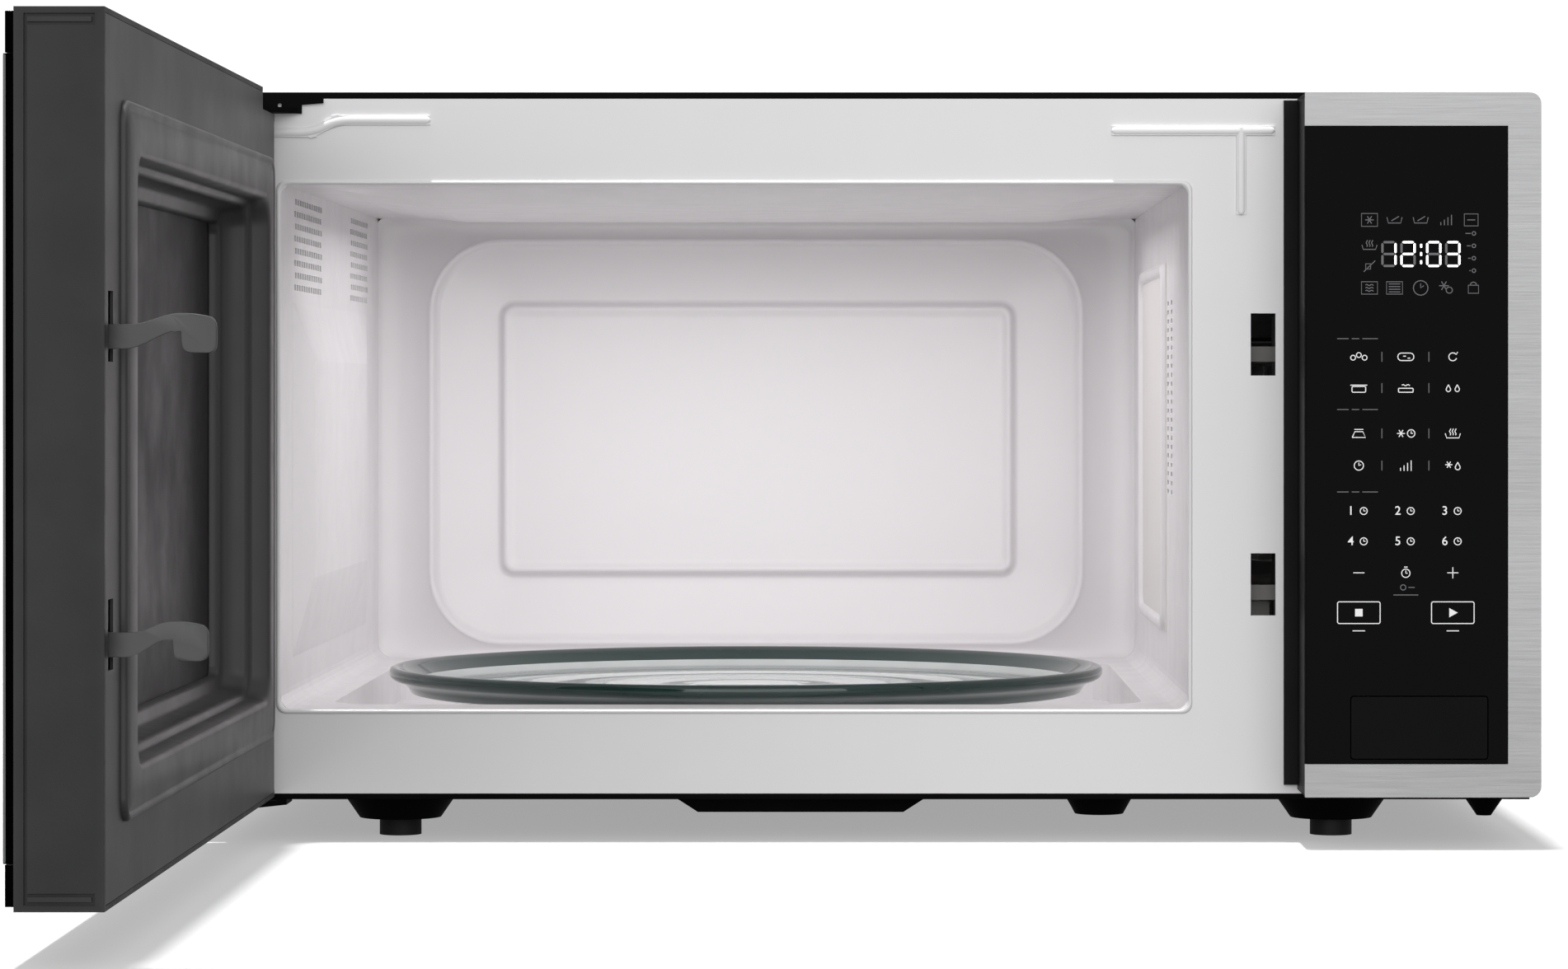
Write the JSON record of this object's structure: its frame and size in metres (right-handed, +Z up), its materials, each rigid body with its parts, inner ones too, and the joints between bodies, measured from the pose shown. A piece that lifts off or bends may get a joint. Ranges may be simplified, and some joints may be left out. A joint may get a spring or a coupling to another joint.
{
  "type": "microwave oven",
  "caption": "Countertop microwave oven with an open side-hinged door, glass turntable, latch hooks and a control panel with a display.",
  "frame": {"origin": "on the surface under the feet, below the middle of the closed oven", "axes": "+Z up, the front faces -Y, +X to the right seen from the front; the door stands open at rest"},
  "size_m": [0.6111, 0.9929, 0.3444],
  "materials": {
    "black_paint": "black baked paint, satin",
    "base_paint": "dark grey coated steel",
    "plate_enamel": "pale grey enamel, semi-gloss",
    "cavity_enamel": "pale lavender grey enamel, gloss",
    "mica": "pressed mica sheet",
    "foot_rubber": "matt",
    "zinc_steel": "zinc plated steel",
    "yoke_steel": "plated steel",
    "fin_aluminium": "bare",
    "winding_copper": "lacquered copper wire",
    "panel_plastic": "fine texture",
    "brushed_strip": "brushed along its width",
    "black_glass": "printed black on its back",
    "button_black": "polished black",
    "board_green": "circuit board",
    "filter_brown": "circuit board",
    "latch_plastic": "natural nylon",
    "lamp_glass": "clear",
    "lamp_ceramic": "matt",
    "fan_black": "moulded",
    "tray_glass": "clear soda-lime glass with a green edge",
    "roller_white": "heat-resistant plastic",
    "door_plastic": "dark grey, fine texture",
    "door_glass": "dark tinted with a printed border",
    "door_mesh": "perforated sheet, black",
    "door_metal": "dark grey metallic paint",
    "choke_plastic": "dark grey, semi-gloss",
    "window_film": "smoked sheet",
    "hook_plastic": "dark grey acetal"
  },
  "bodies": {
    "cabinet": {"outer_case": "black_paint", "base_plate": "base_paint", "back_panel": "zinc_steel", "front_plate": "plate_enamel", "cavity_wrapper": "cavity_enamel", "cavity_ceiling": "cavity_enamel", "cavity_back": "cavity_enamel", "waveguide_cover": "mica", "foot_front_left": "foot_rubber", "foot_front_right": "foot_rubber", "foot_rear_left": "foot_rubber", "foot_rear_right": "foot_rubber", "upper_hinge_bracket": "black_paint", "lower_hinge_bracket": "black_paint", "case_screws": "zinc_steel", "cord_gland": "panel_plastic", "control_housing": "panel_plastic", "control_fascia": "brushed_strip", "control_glass": "black_glass", "display_module": "panel_plastic", "touch_sensor": "panel_plastic", "control_board": "board_green", "latch_board": "latch_plastic", "interlock_switch_1": "panel_plastic", "interlock_switch_2": "panel_plastic", "interlock_switch_3": "panel_plastic", "waveguide": "zinc_steel", "magnetron": "yoke_steel", "magnetron_fins": "fin_aluminium", "transformer_core": "zinc_steel", "transformer_windings": "winding_copper", "hv_capacitor": "zinc_steel", "hv_diode": "panel_plastic", "fan_shroud": "latch_plastic", "fan_motor": "zinc_steel", "air_guide": "latch_plastic", "oven_lamp": "lamp_glass", "lamp_holder": "lamp_ceramic", "thermal_cutout": "panel_plastic", "filter_board": "filter_brown", "turntable_motor": "zinc_steel"},
    "door": {"door_frame": "door_plastic", "door_fascia": "brushed_strip", "door_glass": "door_glass", "door_screen": "door_mesh", "door_panel": "door_metal", "choke_cover": "choke_plastic", "inner_window": "window_film"},
    "latch_slide": {"latch_hooks": "hook_plastic"},
    "turntable": {"drive_coupler": "latch_plastic"},
    "tray": {"glass_tray": "tray_glass"},
    "ring": {"roller_ring": "roller_white"},
    "wheel_1": {"roller_wheel_1": "roller_white"},
    "wheel_2": {"roller_wheel_2": "roller_white"},
    "wheel_3": {"roller_wheel_3": "roller_white"},
    "button": {"release_button": "button_black"},
    "lever": {"release_lever": "latch_plastic"},
    "fan": {"fan_rotor": "fan_black"}
  },
  "joints": [
    {"name": "door_hinge", "type": "hinge", "parent": "cabinet", "child": "door", "pos_m": [-0.2881, -0.242, 0.1819], "axis": [0, 0, -1], "range_deg": [-90, 10]},
    {"name": "latch_lift", "type": "slide", "parent": "door", "child": "latch_slide", "axis": [0, 0, 1], "range_m": [0, 0.0079], "stiffness_N_per_m": 400, "springref_m": -0.01},
    {"name": "release_press", "type": "slide", "parent": "cabinet", "child": "button", "axis": [0, 1, 0], "range_m": [0, 0.007], "stiffness_N_per_m": 600, "springref_m": -0.004},
    {"name": "release_lever_turn", "type": "hinge", "parent": "cabinet", "child": "lever", "pos_m": [0.2498, -0.228, 0.096], "axis": [1, 0, 0], "range_deg": [0, 14.5]},
    {"name": "turntable_spin", "type": "hinge", "parent": "cabinet", "child": "turntable", "pos_m": [-0.0604, 0.0065, 0.04], "axis": [0, 0, 1], "continuous": true},
    {"name": "tray_lift", "type": "slide", "parent": "turntable", "child": "tray", "axis": [0, 0, 1], "range_m": [0, 0.15]},
    {"name": "ring_spin", "type": "hinge", "parent": "cabinet", "child": "ring", "pos_m": [-0.0604, 0.0065, 0.0473], "axis": [0, 0, 1], "continuous": true},
    {"name": "wheel_1_spin", "type": "hinge", "parent": "ring", "child": "wheel_1", "pos_m": [0.0516, 0.0065, 0.0473], "axis": [1, 0, 0], "continuous": true},
    {"name": "wheel_2_spin", "type": "hinge", "parent": "ring", "child": "wheel_2", "pos_m": [-0.1164, 0.10349, 0.0473], "axis": [-0.5, 0.866, 0], "continuous": true},
    {"name": "wheel_3_spin", "type": "hinge", "parent": "ring", "child": "wheel_3", "pos_m": [-0.1164, -0.09049, 0.0473], "axis": [-0.5, -0.866, 0], "continuous": true},
    {"name": "fan_spin", "type": "hinge", "parent": "cabinet", "child": "fan", "pos_m": [0.2194, 0.212, 0.1694], "axis": [0, 1, 0], "continuous": true}
  ],
  "couplings": [
    {"joint": "release_lever_turn", "follows": "release_press", "rad_per_m": 36},
    {"joint": "ring_spin", "follows": "turntable_spin", "ratio": 0.5},
    {"joint": "wheel_1_spin", "follows": "turntable_spin", "ratio": -8},
    {"joint": "wheel_2_spin", "follows": "turntable_spin", "ratio": -8},
    {"joint": "wheel_3_spin", "follows": "turntable_spin", "ratio": -8}
  ]
}
